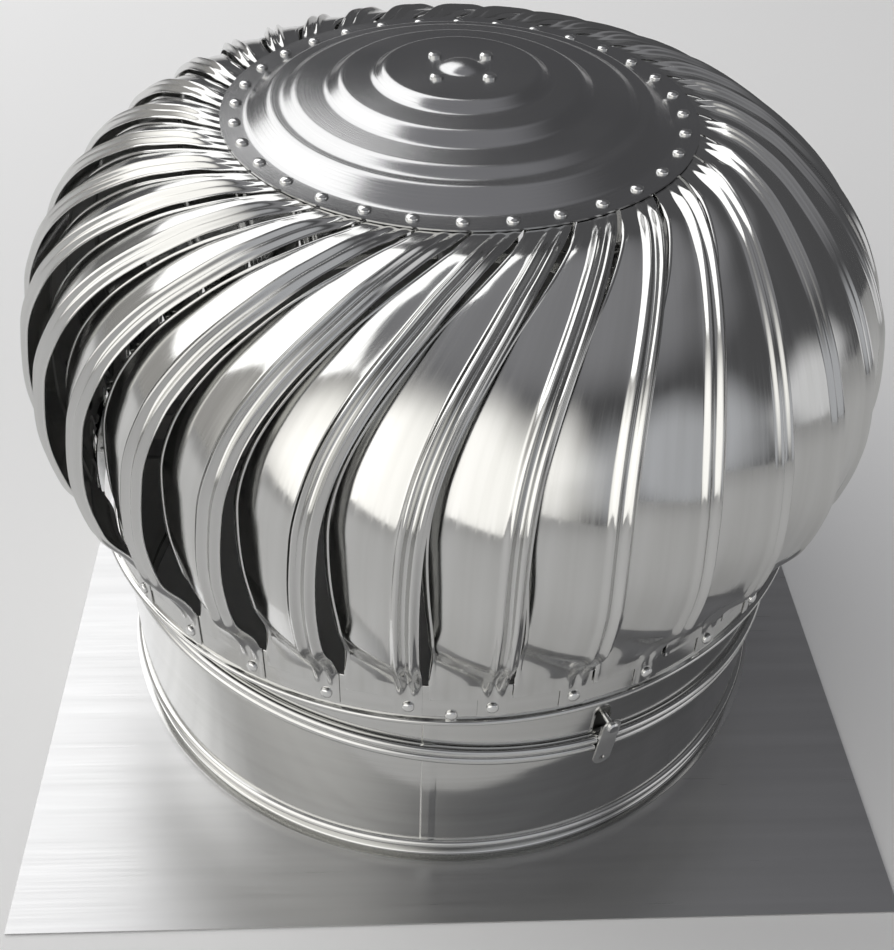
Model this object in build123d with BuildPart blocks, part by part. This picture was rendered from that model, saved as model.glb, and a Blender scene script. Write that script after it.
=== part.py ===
"""Wind-driven turbine roof ventilator: a square flashing sheet, a two-piece oblique throat whose
upper half swivels to suit the roof pitch, and a bladed rotor that spins on a fixed spindle.

Millimetres, +Z up. The origin is the centre of the flashing sheet's underside.
"""

import math
import os

from build123d import *

# Sheet thicknesses and clearances
SHEET = 1.0
VANE_SHEET = 0.6
PLATE_SHEET = 1.2
SEAT_GAP = 0.2
HOLE_CLEARANCE = 0.15
BEARING_CLEARANCE = 0.03

# Flashing sheet and lower throat
PLATE_SIDE = 600.0
THROAT_RADIUS = 248.5
FOOT_FLANGE_WIDTH = 6.5
BEAD_HEIGHT = 15.0
BEAD_RADIUS = 3.5
SEAM_AZIMUTH = -95.0
SEAM_WIDTH = 9.0
SEAM_STEP = 0.8

# Oblique swivel joint between the two halves of the throat
JOINT_HEIGHT = 119.0
JOINT_TILT = 6.0
WIRED_EDGE_RADIUS = 3.45
WIRED_EDGE_STANDOUT = 1.65
JOINT_GAP = 0.3
SPIGOT_DEPTH = 8.0
SPIGOT_INSET = 2.8
COLLAR_TOP = 178.0

# Lock tabs that bridge the swivel joint
TAB_COUNT = 3
TAB_AZIMUTH = -68.0
TAB_WIDTH = 13.0
TAB_SHEET = 1.2
TAB_ABOVE = 25.0
TAB_BELOW = 20.0
TAB_FLANGE_DEPTH = 1.5
TAB_SCREW_INSET = 6.5
TAB_SCREW_RADIUS = 2.0
TAB_SCREW_HEAD_RADIUS = 4.2
TAB_SCREW_REACH = 12.0

# Rotor ring
RING_RADIUS = 257.0
RING_BOTTOM = 161.5
RING_TOP = 196.0
RING_ROLL_RADIUS = 2.0

# Envelope that the outer edges of the vanes follow
VANE_COUNT = 32
HEAD_RADIUS = 288.0
HEAD_MID_HEIGHT = 275.6
CROWN_RISE = 189.8
CROWN_FULLNESS = 2.34
BELLY_DROP = 170.7
CREST_ANGLES = (-22.0, -11.0, 1.0, 12.0, 23.0, 34.0, 44.0, 52.0)

# Vane form
VANE_LEAD = 28.1
LEAD_POWER = 1.45
VANE_GAP_DEG = 0.75
VANE_DEPTH = 17.0
HEM_CLEARANCE = 0.7
RIDGE_SPACING = 4.2
RIDGE_HEIGHT = 3.2
RIDGE_END_HEIGHT = 0.3
HEM_HEIGHT = 185.0
FOOT_END_HEIGHT = 169.0
FOOT_FLAT_HEIGHT = 184.0
FOOT_AZIMUTH = -97.81
SHOULDER_RADIUS = 163.0
SHOULDER_RISE = 1.5
TONGUE_LENGTH = 20.0
TONGUE_LAP = 3.0

# Top cap: the outer edge, drop and foot of each step, from the middle out
CAP_RADIUS = 146.6
CAP_RIM_HEIGHT = 437.0
CAP_CREST_RADII = (47.0, 73.5, 101.6, 117.0)
CAP_FOOT_RADII = (54.0, 82.0, 109.0, 131.0)
CAP_CREST_RISES = (26.6, 20.6, 13.2, 9.2)
CAP_FOOT_RISES = (21.6, 14.6, 9.4, 0.0)
CAP_BOSS_RADIUS = 14.0
CAP_BOSS_RISE = 4.0

# Rivets and screws
RIVET_RADIUS = 2.0
RIVET_HEAD_RADIUS = 3.8
RIVET_HEAD_RISE = 2.4
RIVET_HEAD_TAPER = 32.0
RIVET_TAIL = 1.5
RIVET_SIDES = 8
RIM_RIVET_CIRCLE = 138.0
FOOT_RIVET_HEIGHT = 177.0
CAP_SCREW_CIRCLE = 22.2
CAP_SCREW_RADIUS = 2.0
CAP_SCREW_HEAD_RADIUS = 4.0
CAP_SCREW_HEAD_RISE = 2.6
CAP_NUT_FLATS = 6.5
CAP_NUT_HEIGHT = 3.2

# Fixed spider in the collar, and the spindle
ARM_COUNT = 4
ARM_WIDTH = 20.0
ARM_SHEET = 3.0
ARM_HEIGHT = 156.0
ARM_TAB_RISE = 18.0
NECK_HUB_RADIUS = 16.0
NECK_HUB_BELOW = 8.0
NECK_HUB_ABOVE = 12.0
SPINDLE_RADIUS = 8.5
SPINDLE_COLLAR_RADIUS = 14.0
SPINDLE_COLLAR_HEIGHT = 4.0
SPINDLE_SEAT_RADIUS = 5.0
SPINDLE_TIP_RADIUS = 4.0
SPINDLE_NUT_FLATS = 24.0
SPINDLE_NUT_HEIGHT = 10.0
TIP_NUT_FLATS = 13.0
TIP_NUT_HEIGHT = 6.5
WASHER_SHEET = 2.0
SLEEVE_RADIUS = 11.5
SLEEVE_LENGTH = 20.0

# Rotor spider, bearings and bearing housing
SPOKE_COUNT = 4
SPOKE_AZIMUTH = -92.0
SPOKE_WIDTH = 16.0
SPOKE_SHEET = 2.0
SPOKE_TAB_END = 163.0
SPOKE_RIVET_HEIGHT = 170.0
LOWER_BEARING_RADIUS = 20.0
LOWER_BEARING_WIDTH = 12.0
UPPER_BEARING_RADIUS = 13.0
UPPER_BEARING_WIDTH = 8.0
RACE_WALL = 3.0
HOUSING_WALL = 2.6
HOUSING_FLANGE_RADIUS = 30.0
HOUSING_FLANGE_SHEET = 4.0
HOUSING_LIP = 3.0
UPPER_BEARING_DROP = 18.0

# Derived places
PITCH_DEG = 360.0 / VANE_COUNT
CAP_TOP = CAP_RIM_HEIGHT + CAP_CREST_RISES[0]
CAP_UNDERSIDE = CAP_TOP - SHEET
RIM_UNDERSIDE = CAP_RIM_HEIGHT - SHEET
FOOT_RADIUS = RING_RADIUS + SEAT_GAP + VANE_SHEET / 2
FOOT_FACE = RING_RADIUS + SEAT_GAP + VANE_SHEET + RIDGE_END_HEIGHT
RIB_CHANNEL = 2 * RIDGE_SPACING
WIRED_EDGE_CIRCLE = THROAT_RADIUS + WIRED_EDGE_STANDOUT
WIRED_EDGE_OFFSET = WIRED_EDGE_RADIUS + JOINT_GAP / 2
NECK_HUB_TOP = ARM_HEIGHT + NECK_HUB_ABOVE
NECK_HUB_BOTTOM = ARM_HEIGHT - NECK_HUB_BELOW
SPINDLE_COLLAR_TOP = NECK_HUB_TOP + SPINDLE_COLLAR_HEIGHT
LOWER_BEARING_BOTTOM = SPINDLE_COLLAR_TOP + SLEEVE_LENGTH
LOWER_BEARING_TOP = LOWER_BEARING_BOTTOM + LOWER_BEARING_WIDTH
UPPER_BEARING_TOP = CAP_UNDERSIDE - UPPER_BEARING_DROP
UPPER_BEARING_BOTTOM = UPPER_BEARING_TOP - UPPER_BEARING_WIDTH
SPOKE_HEIGHT = RING_TOP + 1.0


def polar(radius, azimuth, height):
    """A point given by its distance from the axis, its azimuth in degrees and its height."""
    angle = math.radians(azimuth)
    return Vector(radius * math.cos(angle), radius * math.sin(angle), height)


def facing_out(radius, azimuth, height):
    """A plane on a vertical cylinder, its normal pointing straight out from the axis."""
    return Plane(polar(radius, azimuth, height), x_dir=(0, 0, 1), z_dir=polar(1, azimuth, 0))


def azimuths(count, first):
    """Evenly spaced azimuths, in degrees."""
    return [first + index * 360.0 / count for index in range(count)]


def rivet(grip):
    """One rivet: its head sits on the plane and its shank goes down through the grip."""
    with BuildPart() as one:
        with BuildSketch():
            RegularPolygon(RIVET_HEAD_RADIUS, RIVET_SIDES)
        extrude(amount=RIVET_HEAD_RISE, taper=RIVET_HEAD_TAPER)
        with BuildSketch():
            RegularPolygon(RIVET_RADIUS, RIVET_SIDES)
        extrude(amount=-grip - RIVET_TAIL)
    return one.part


def ring(inner, outer, bottom, top):
    """A plain round ring about the axis."""
    with BuildPart() as one:
        with BuildSketch(Plane.XY.offset(bottom)):
            Circle(outer)
            Circle(inner, mode=Mode.SUBTRACT)
        extrude(amount=top - bottom)
    return one


def hex_nut(flats, hole, bottom, height):
    """A hexagon nut about the axis."""
    with BuildPart() as one:
        with BuildSketch(Plane.XY.offset(bottom)):
            RegularPolygon(flats / 2, 6, major_radius=False)
            Circle(hole, mode=Mode.SUBTRACT)
        extrude(amount=height)
    return one


# The swivel joint's own frame: its X axis points to the low side
tilt = math.radians(JOINT_TILT)
joint_plane = Plane(
    (0, 0, JOINT_HEIGHT),
    x_dir=(math.cos(tilt), 0, -math.sin(tilt)),
    z_dir=(math.sin(tilt), 0, math.cos(tilt)),
)
joint_section = Plane(joint_plane.origin, x_dir=joint_plane.x_dir, z_dir=-joint_plane.y_dir)
swivel_axis = Axis(joint_plane.origin, joint_plane.z_dir)


def joint_side(radius, azimuth, height):
    """A plane facing out from the swivel axis, its X axis along that axis."""
    angle = math.radians(azimuth)
    outward = joint_plane.x_dir * math.cos(angle) + joint_plane.y_dir * math.sin(angle)
    origin = joint_plane.origin + outward * radius + joint_plane.z_dir * height
    return Plane(origin, x_dir=joint_plane.z_dir, z_dir=outward)


rim_azimuths = azimuths(VANE_COUNT, FOOT_AZIMUTH + VANE_LEAD)
foot_azimuths = azimuths(VANE_COUNT, FOOT_AZIMUTH)
spoke_azimuths = azimuths(SPOKE_COUNT, SPOKE_AZIMUTH)
arm_azimuths = azimuths(ARM_COUNT, SPOKE_AZIMUTH)
tab_azimuths = azimuths(TAB_COUNT, TAB_AZIMUTH)
cap_screw_azimuths = azimuths(4, 45.0)

foot_planes = [facing_out(FOOT_FACE, a, FOOT_RIVET_HEIGHT) for a in foot_azimuths]
spoke_planes = [facing_out(RING_RADIUS, a, SPOKE_RIVET_HEIGHT) for a in spoke_azimuths]
arm_rivet_height = ARM_HEIGHT + ARM_TAB_RISE - ARM_WIDTH / 3
arm_planes = [facing_out(THROAT_RADIUS, a, arm_rivet_height) for a in arm_azimuths]
rim_planes = [Plane(polar(RIM_RIVET_CIRCLE, a, CAP_RIM_HEIGHT)) for a in rim_azimuths]
tab_face = WIRED_EDGE_CIRCLE + WIRED_EDGE_RADIUS + JOINT_GAP + TAB_SHEET
tab_planes = [joint_side(tab_face, a, TAB_ABOVE - TAB_SCREW_INSET) for a in tab_azimuths]
cap_screw_planes = [Plane(polar(CAP_SCREW_CIRCLE, a, CAP_TOP)) for a in cap_screw_azimuths]

# Flashing sheet
with BuildPart() as base_plate:
    with BuildSketch():
        Rectangle(PLATE_SIDE, PLATE_SIDE)
        Circle(THROAT_RADIUS - SHEET, mode=Mode.SUBTRACT)
    extrude(amount=PLATE_SHEET)

# Lower throat: foot flange and bead in one turned sheet, cut along the joint and wired at the cut
with BuildPart() as base_drum:
    throat_bore = THROAT_RADIUS - SHEET
    flange_edge = THROAT_RADIUS + FOOT_FLANGE_WIDTH
    flange_top = PLATE_SHEET + SHEET
    bead_low = BEAD_HEIGHT - BEAD_RADIUS
    bead_high = BEAD_HEIGHT + BEAD_RADIUS
    groove_half = math.sqrt((BEAD_RADIUS - SHEET) ** 2 - SHEET**2)
    with BuildSketch(Plane.XZ):
        with BuildLine():
            Polyline(
                (throat_bore, BEAD_HEIGHT - groove_half),
                (throat_bore, PLATE_SHEET),
                (flange_edge, PLATE_SHEET),
                (flange_edge, flange_top),
                (THROAT_RADIUS, flange_top),
                (THROAT_RADIUS, bead_low),
            )
            ThreePointArc(
                (THROAT_RADIUS, bead_low),
                (THROAT_RADIUS + BEAD_RADIUS, BEAD_HEIGHT),
                (THROAT_RADIUS, bead_high),
            )
            Polyline(
                (THROAT_RADIUS, bead_high),
                (THROAT_RADIUS, COLLAR_TOP),
                (throat_bore, COLLAR_TOP),
                (throat_bore, BEAD_HEIGHT + groove_half),
            )
            ThreePointArc(
                (throat_bore, BEAD_HEIGHT + groove_half),
                (throat_bore + BEAD_RADIUS, BEAD_HEIGHT),
                (throat_bore, BEAD_HEIGHT - groove_half),
            )
        make_face()
    revolve(axis=Axis.Z)
    with BuildSketch(Plane.XY.offset(bead_high - SHEET / 2)):
        with PolarLocations(THROAT_RADIUS, 1, start_angle=SEAM_AZIMUTH):
            Rectangle(2 * SEAM_STEP, SEAM_WIDTH)
    extrude(amount=COLLAR_TOP)
    split(bisect_by=joint_plane.offset(-WIRED_EDGE_OFFSET), keep=Keep.BOTTOM)
    with BuildSketch(joint_section):
        with Locations((WIRED_EDGE_CIRCLE, -WIRED_EDGE_OFFSET)):
            Circle(WIRED_EDGE_RADIUS)
    revolve(axis=swivel_axis)

# Upper throat: the same sheet above the joint, wired at the cut, with a spigot that keeps it centred
with BuildPart() as neck_collar:
    with BuildSketch():
        Circle(THROAT_RADIUS)
        Circle(THROAT_RADIUS - SHEET, mode=Mode.SUBTRACT)
    extrude(amount=COLLAR_TOP)
    with BuildSketch():
        with PolarLocations(THROAT_RADIUS, 1, start_angle=SEAM_AZIMUTH):
            Rectangle(2 * SEAM_STEP, SEAM_WIDTH)
    extrude(amount=COLLAR_TOP)
    split(bisect_by=joint_plane.offset(WIRED_EDGE_OFFSET), keep=Keep.TOP)
    with BuildSketch(joint_section):
        with Locations((WIRED_EDGE_CIRCLE, WIRED_EDGE_OFFSET)):
            Circle(WIRED_EDGE_RADIUS)
        with BuildLine():
            spigot = THROAT_RADIUS - SPIGOT_INSET
            Polyline(
                (spigot, -SPIGOT_DEPTH),
                (spigot, WIRED_EDGE_OFFSET - SHEET),
                (WIRED_EDGE_CIRCLE, WIRED_EDGE_OFFSET - SHEET),
                (WIRED_EDGE_CIRCLE, WIRED_EDGE_OFFSET + SHEET),
                (spigot - SHEET, WIRED_EDGE_OFFSET + SHEET),
                (spigot - SHEET, -SPIGOT_DEPTH),
                close=True,
            )
        make_face()
    revolve(axis=swivel_axis)
    with Locations(*tab_planes):
        Cylinder(TAB_SCREW_RADIUS + HOLE_CLEARANCE, 4 * TAB_SCREW_REACH, mode=Mode.SUBTRACT)
    with Locations(*arm_planes):
        Cylinder(RIVET_RADIUS + HOLE_CLEARANCE, 4 * RIVET_HEAD_RADIUS, mode=Mode.SUBTRACT)

# Lock tabs: a rounded strap over both wired edges, with side flanges that stand on the collar
with BuildPart() as lock_tab:
    with BuildSketch():
        with Locations(((TAB_ABOVE - TAB_BELOW) / 2, 0)):
            SlotOverall(TAB_ABOVE + TAB_BELOW, TAB_WIDTH)
        with Locations((TAB_ABOVE - TAB_SCREW_INSET, 0), (TAB_SCREW_INSET - TAB_BELOW, 0)):
            Circle(TAB_SCREW_RADIUS + HOLE_CLEARANCE, mode=Mode.SUBTRACT)
    extrude(amount=-TAB_SHEET)
    with BuildSketch():
        with Locations((TAB_ABOVE - 2 * TAB_SCREW_INSET, 0)):
            with GridLocations(0, TAB_WIDTH - TAB_SHEET, 1, 2):
                Rectangle(2 * TAB_SCREW_INSET - TAB_SHEET, TAB_SHEET)
    extrude(amount=-TAB_SHEET - TAB_FLANGE_DEPTH)

with BuildPart() as tab_screw:
    Cylinder(TAB_SCREW_HEAD_RADIUS, TAB_SCREW_RADIUS, align=(Align.CENTER, Align.CENTER, Align.MIN))
    chamfer(tab_screw.edges().group_by(Axis.Z)[-1], TAB_SCREW_RADIUS / 2)
    Cylinder(TAB_SCREW_RADIUS, TAB_SCREW_REACH, align=(Align.CENTER, Align.CENTER, Align.MAX))

with BuildPart() as tab_screws:
    with Locations(*tab_planes):
        add(tab_screw.part)

# Fixed spider: a hub on flat arms whose turned-up ends are riveted inside the collar
with BuildPart() as neck_spider:
    with BuildSketch(Plane.XY.offset(NECK_HUB_BOTTOM)):
        Circle(NECK_HUB_RADIUS)
    extrude(amount=NECK_HUB_TOP - NECK_HUB_BOTTOM)
    arm_reach = THROAT_RADIUS - SHEET - 2 * SEAT_GAP
    with BuildSketch(Plane.XY.offset(ARM_HEIGHT)):
        with PolarLocations(arm_reach / 2, ARM_COUNT, start_angle=SPOKE_AZIMUTH):
            Rectangle(arm_reach, ARM_WIDTH)
    extrude(amount=ARM_SHEET)
    with BuildSketch(Plane.XY.offset(ARM_HEIGHT)):
        with PolarLocations(arm_reach - ARM_SHEET / 2, ARM_COUNT, start_angle=SPOKE_AZIMUTH):
            Rectangle(ARM_SHEET, ARM_WIDTH)
    extrude(amount=ARM_TAB_RISE)
    with BuildSketch(Plane.XY.offset(NECK_HUB_BOTTOM)):
        Circle(SPINDLE_RADIUS + BEARING_CLEARANCE)
    extrude(amount=NECK_HUB_TOP - NECK_HUB_BOTTOM, mode=Mode.SUBTRACT)
    with Locations(*arm_planes):
        Cylinder(RIVET_RADIUS + HOLE_CLEARANCE, 4 * RIVET_HEAD_RADIUS, mode=Mode.SUBTRACT)

with BuildPart() as arm_rivets:
    arm_rivet = rivet(SHEET + 2 * SEAT_GAP + ARM_SHEET)
    with Locations(*arm_planes):
        add(arm_rivet)

# Spindle: threaded foot, collar on the hub, long shank, bearing seat and threaded tip
foot_end = NECK_HUB_BOTTOM - WASHER_SHEET - SPINDLE_NUT_HEIGHT - WASHER_SHEET
tip_end = UPPER_BEARING_TOP + WASHER_SHEET + TIP_NUT_HEIGHT + WASHER_SHEET
with BuildPart() as spindle:
    with BuildSketch(Plane.XZ):
        with BuildLine():
            Polyline(
                (0, foot_end),
                (SPINDLE_RADIUS, foot_end),
                (SPINDLE_RADIUS, NECK_HUB_TOP),
                (SPINDLE_COLLAR_RADIUS, NECK_HUB_TOP),
                (SPINDLE_COLLAR_RADIUS, SPINDLE_COLLAR_TOP),
                (SPINDLE_RADIUS, SPINDLE_COLLAR_TOP),
                (SPINDLE_RADIUS, UPPER_BEARING_BOTTOM - WASHER_SHEET),
                (SPINDLE_SEAT_RADIUS + WASHER_SHEET, UPPER_BEARING_BOTTOM),
                (SPINDLE_SEAT_RADIUS, UPPER_BEARING_BOTTOM),
                (SPINDLE_SEAT_RADIUS, UPPER_BEARING_TOP),
                (SPINDLE_TIP_RADIUS, UPPER_BEARING_TOP),
                (SPINDLE_TIP_RADIUS, tip_end),
                (0, tip_end),
                close=True,
            )
        make_face()
    revolve(axis=Axis.Z)

foot_hole = SPINDLE_RADIUS + BEARING_CLEARANCE
tip_hole = SPINDLE_TIP_RADIUS + BEARING_CLEARANCE
foot_washer_bottom = NECK_HUB_BOTTOM - WASHER_SHEET
spindle_foot_washer = ring(foot_hole, NECK_HUB_RADIUS, foot_washer_bottom, NECK_HUB_BOTTOM)
spindle_foot_nut = hex_nut(
    SPINDLE_NUT_FLATS, foot_hole, foot_washer_bottom - SPINDLE_NUT_HEIGHT, SPINDLE_NUT_HEIGHT
)
spindle_tip_washer = ring(
    tip_hole, TIP_NUT_FLATS / 2, UPPER_BEARING_TOP, UPPER_BEARING_TOP + WASHER_SHEET
)
spindle_tip_nut = hex_nut(TIP_NUT_FLATS, tip_hole, UPPER_BEARING_TOP + WASHER_SHEET, TIP_NUT_HEIGHT)
spacer_sleeve = ring(foot_hole, SLEEVE_RADIUS, SPINDLE_COLLAR_TOP, LOWER_BEARING_BOTTOM)

# Sealed bearings: inner races stay with the spindle, outer races turn with the rotor
lower_bearing_inner = ring(
    foot_hole, LOWER_BEARING_RADIUS - RACE_WALL - SEAT_GAP, LOWER_BEARING_BOTTOM, LOWER_BEARING_TOP
)
lower_bearing_outer = ring(
    LOWER_BEARING_RADIUS - RACE_WALL, LOWER_BEARING_RADIUS, LOWER_BEARING_BOTTOM, LOWER_BEARING_TOP
)
upper_bearing_inner = ring(
    SPINDLE_SEAT_RADIUS + BEARING_CLEARANCE,
    UPPER_BEARING_RADIUS - RACE_WALL - SEAT_GAP,
    UPPER_BEARING_BOTTOM,
    UPPER_BEARING_TOP,
)
upper_bearing_outer = ring(
    UPPER_BEARING_RADIUS - RACE_WALL, UPPER_BEARING_RADIUS, UPPER_BEARING_BOTTOM, UPPER_BEARING_TOP
)

# Rotor ring with a rolled lower edge
with BuildPart() as bottom_ring:
    with BuildSketch(Plane.XZ):
        with Locations((RING_RADIUS - SHEET / 2, (RING_BOTTOM + RING_TOP) / 2)):
            Rectangle(SHEET, RING_TOP - RING_BOTTOM)
        with Locations((RING_RADIUS - SHEET + RING_ROLL_RADIUS, RING_BOTTOM + RING_ROLL_RADIUS)):
            Circle(RING_ROLL_RADIUS)
    revolve(axis=Axis.Z)
    with Locations(*foot_planes, *spoke_planes):
        Cylinder(RIVET_RADIUS + HOLE_CLEARANCE, 4 * RIVET_HEAD_RADIUS, mode=Mode.SUBTRACT)

# Rotor spider: spokes over the collar to a cup round the lower bearing, ends turned down in the ring
with BuildPart() as rotor_spider:
    cup_radius = LOWER_BEARING_RADIUS + HOUSING_WALL
    with BuildSketch(Plane.XY.offset(LOWER_BEARING_BOTTOM)):
        Circle(cup_radius)
    extrude(amount=LOWER_BEARING_WIDTH + HOUSING_LIP)
    spoke_reach = RING_RADIUS - SHEET - 2 * SEAT_GAP
    with BuildSketch(Plane.XY.offset(SPOKE_HEIGHT)):
        with PolarLocations(spoke_reach / 2, SPOKE_COUNT, start_angle=SPOKE_AZIMUTH):
            Rectangle(spoke_reach, SPOKE_WIDTH)
    extrude(amount=SPOKE_SHEET)
    with BuildSketch(Plane.XY.offset(SPOKE_TAB_END)):
        with PolarLocations(spoke_reach - SPOKE_SHEET / 2, SPOKE_COUNT, start_angle=SPOKE_AZIMUTH):
            Rectangle(SPOKE_SHEET, SPOKE_WIDTH)
    extrude(amount=SPOKE_HEIGHT + SPOKE_SHEET - SPOKE_TAB_END)
    with BuildSketch(Plane.XY.offset(LOWER_BEARING_BOTTOM)):
        Circle(LOWER_BEARING_RADIUS + BEARING_CLEARANCE)
    extrude(amount=LOWER_BEARING_WIDTH + BEARING_CLEARANCE, mode=Mode.SUBTRACT)
    with BuildSketch(Plane.XY.offset(LOWER_BEARING_BOTTOM)):
        Circle(LOWER_BEARING_RADIUS - RACE_WALL)
    extrude(amount=LOWER_BEARING_WIDTH + 2 * HOUSING_LIP, mode=Mode.SUBTRACT)
    with Locations(*spoke_planes):
        Cylinder(RIVET_RADIUS + HOLE_CLEARANCE, 4 * RIVET_HEAD_RADIUS, mode=Mode.SUBTRACT)

with BuildPart() as spoke_rivets:
    spoke_rivet = rivet(SHEET + 2 * SEAT_GAP + SPOKE_SHEET)
    with Locations(*spoke_planes):
        add(spoke_rivet)

# Upper bearing housing: a flanged cup that hangs under the cap and rests on the outer race
with BuildPart() as bearing_housing:
    with BuildSketch(Plane.XZ):
        with BuildLine():
            Polyline(
                (UPPER_BEARING_RADIUS + BEARING_CLEARANCE, UPPER_BEARING_BOTTOM - HOUSING_LIP),
                (UPPER_BEARING_RADIUS + HOUSING_WALL, UPPER_BEARING_BOTTOM - HOUSING_LIP),
                (UPPER_BEARING_RADIUS + HOUSING_WALL, CAP_UNDERSIDE - HOUSING_FLANGE_SHEET),
                (HOUSING_FLANGE_RADIUS, CAP_UNDERSIDE - HOUSING_FLANGE_SHEET),
                (HOUSING_FLANGE_RADIUS, CAP_UNDERSIDE),
                (UPPER_BEARING_RADIUS - HOUSING_LIP, CAP_UNDERSIDE),
                (UPPER_BEARING_RADIUS - HOUSING_LIP, UPPER_BEARING_TOP),
                (UPPER_BEARING_RADIUS + BEARING_CLEARANCE, UPPER_BEARING_TOP),
                close=True,
            )
        make_face()
    revolve(axis=Axis.Z)
    with Locations(*cap_screw_planes):
        Cylinder(CAP_SCREW_RADIUS + HOLE_CLEARANCE, 4 * HOUSING_FLANGE_SHEET, mode=Mode.SUBTRACT)

# Stepped top cap, one pressed sheet with a domed boss
cap_steps = []
for crest, crest_rise, foot, foot_rise in zip(
    CAP_CREST_RADII, CAP_CREST_RISES, CAP_FOOT_RADII, CAP_FOOT_RISES
):
    cap_steps.append((crest, CAP_RIM_HEIGHT + crest_rise))
    cap_steps.append((foot, CAP_RIM_HEIGHT + foot_rise))
cap_outline = [(CAP_BOSS_RADIUS, CAP_TOP), *cap_steps, (CAP_RADIUS, CAP_RIM_HEIGHT)]
cap_lining = [(radius, height - SHEET) for radius, height in reversed(cap_outline)]
dome_radius = (CAP_BOSS_RADIUS**2 + CAP_BOSS_RISE**2) / (2 * CAP_BOSS_RISE)
half_turn = math.asin(CAP_BOSS_RADIUS / dome_radius) / 2
dome_side = dome_radius * math.sin(half_turn)
dome_height = CAP_TOP + CAP_BOSS_RISE - dome_radius * (1 - math.cos(half_turn))
with BuildPart() as top_cap:
    with BuildSketch(Plane.XZ):
        with BuildLine():
            ThreePointArc((0, CAP_TOP + CAP_BOSS_RISE), (dome_side, dome_height), cap_outline[0])
            Polyline(*cap_outline, *cap_lining)
            ThreePointArc(
                cap_lining[-1],
                (dome_side, dome_height - SHEET),
                (0, CAP_UNDERSIDE + CAP_BOSS_RISE),
            )
            Line((0, CAP_UNDERSIDE + CAP_BOSS_RISE), (0, CAP_TOP + CAP_BOSS_RISE))
        make_face()
    revolve(axis=Axis.Z)
    with Locations(*cap_screw_planes):
        Cylinder(CAP_SCREW_RADIUS + HOLE_CLEARANCE, 4 * SHEET, mode=Mode.SUBTRACT)
    with Locations(*rim_planes):
        Cylinder(RIVET_RADIUS + HOLE_CLEARANCE, 4 * SHEET, mode=Mode.SUBTRACT)

with BuildPart() as cap_screw:
    Cylinder(CAP_SCREW_HEAD_RADIUS, CAP_SCREW_HEAD_RISE, align=(Align.CENTER, Align.CENTER, Align.MIN))
    chamfer(cap_screw.edges().group_by(Axis.Z)[-1], CAP_SCREW_HEAD_RISE / 2)
    Cylinder(
        CAP_SCREW_RADIUS,
        SHEET + HOUSING_FLANGE_SHEET + CAP_NUT_HEIGHT,
        align=(Align.CENTER, Align.CENTER, Align.MAX),
    )

with BuildPart() as cap_screws:
    with Locations(*cap_screw_planes):
        add(cap_screw.part)

with BuildPart() as cap_nuts:
    with BuildSketch(Plane.XY.offset(CAP_UNDERSIDE - HOUSING_FLANGE_SHEET)):
        with PolarLocations(CAP_SCREW_CIRCLE, 4, start_angle=45.0):
            RegularPolygon(CAP_NUT_FLATS / 2, 6, major_radius=False)
            Circle(CAP_SCREW_RADIUS + BEARING_CLEARANCE, mode=Mode.SUBTRACT)
    extrude(amount=-CAP_NUT_HEIGHT)


# Vanes
def crest_point(angle):
    """A point of the envelope, as its radius and height, at a latitude in degrees."""
    turn = math.radians(abs(angle))
    if angle < 0:
        return (HEAD_RADIUS * math.cos(turn), HEAD_MID_HEIGHT - BELLY_DROP * math.sin(turn))
    power = 2 / CROWN_FULLNESS
    return (
        HEAD_RADIUS * math.cos(turn) ** power,
        HEAD_MID_HEIGHT + CROWN_RISE * math.sin(turn) ** power,
    )


def vane_lead(radius, height):
    """How far a vane has swept round, in degrees, where its rib reaches this radius."""
    if height < HEAD_MID_HEIGHT:
        return 0.0
    share = (HEAD_RADIUS - max(radius, RIM_RIVET_CIRCLE)) / (HEAD_RADIUS - RIM_RIVET_CIRCLE)
    return VANE_LEAD * share**LEAD_POWER


tongue_middle = RIM_UNDERSIDE - SEAT_GAP - VANE_SHEET / 2
tongue_end = CAP_RADIUS - TONGUE_LENGTH
crest_line = [
    (FOOT_RADIUS + RIDGE_END_HEIGHT, FOOT_END_HEIGHT),
    (FOOT_RADIUS + RIDGE_END_HEIGHT, FOOT_FLAT_HEIGHT),
    (FOOT_RADIUS + RIDGE_HEIGHT, RING_TOP),
    *[crest_point(angle) for angle in CREST_ANGLES],
    (SHOULDER_RADIUS, RIM_UNDERSIDE + SHOULDER_RISE),
    (CAP_RADIUS + TONGUE_LAP, tongue_middle),
    (tongue_end, tongue_middle),
]
travel = [0.0]
for (r0, z0), (r1, z1) in zip(crest_line, crest_line[1:]):
    travel.append(travel[-1] + math.hypot(r1 - r0, z1 - z0))


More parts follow.
